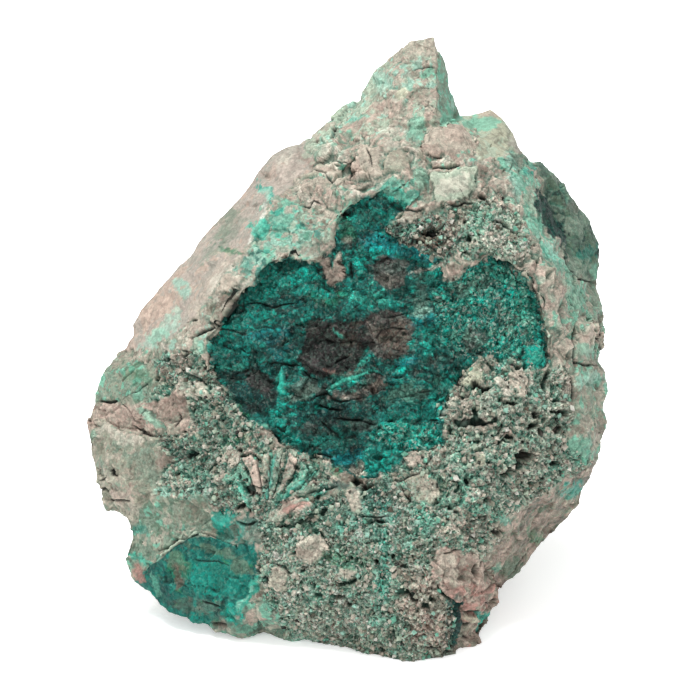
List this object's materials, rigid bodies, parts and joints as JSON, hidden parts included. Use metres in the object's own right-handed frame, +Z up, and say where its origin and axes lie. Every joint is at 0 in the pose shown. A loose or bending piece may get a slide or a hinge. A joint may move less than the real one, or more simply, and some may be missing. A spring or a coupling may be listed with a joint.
{
  "type": "chrysocolla specimen",
  "caption": "Rough broken lump of ore rock with a steep peak, a shallow hollow lined with chrysocolla and a flat underside that it stands on.",
  "frame": {"origin": "the middle of the bounding box's floor, on the plane that the stone stands on", "axes": "+Z up to the peak, -Y towards the viewer of the face with the chrysocolla, +X to that viewer's right"},
  "size_m": [0.0666, 0.0564, 0.0698],
  "materials": {
    "ore_stone": "rough broken pinkish grey rock with teal chrysocolla, semi-matt"
  },
  "bodies": {
    "root": {"chrysocolla_stone": "ore_stone"}
  },
  "joints": []
}
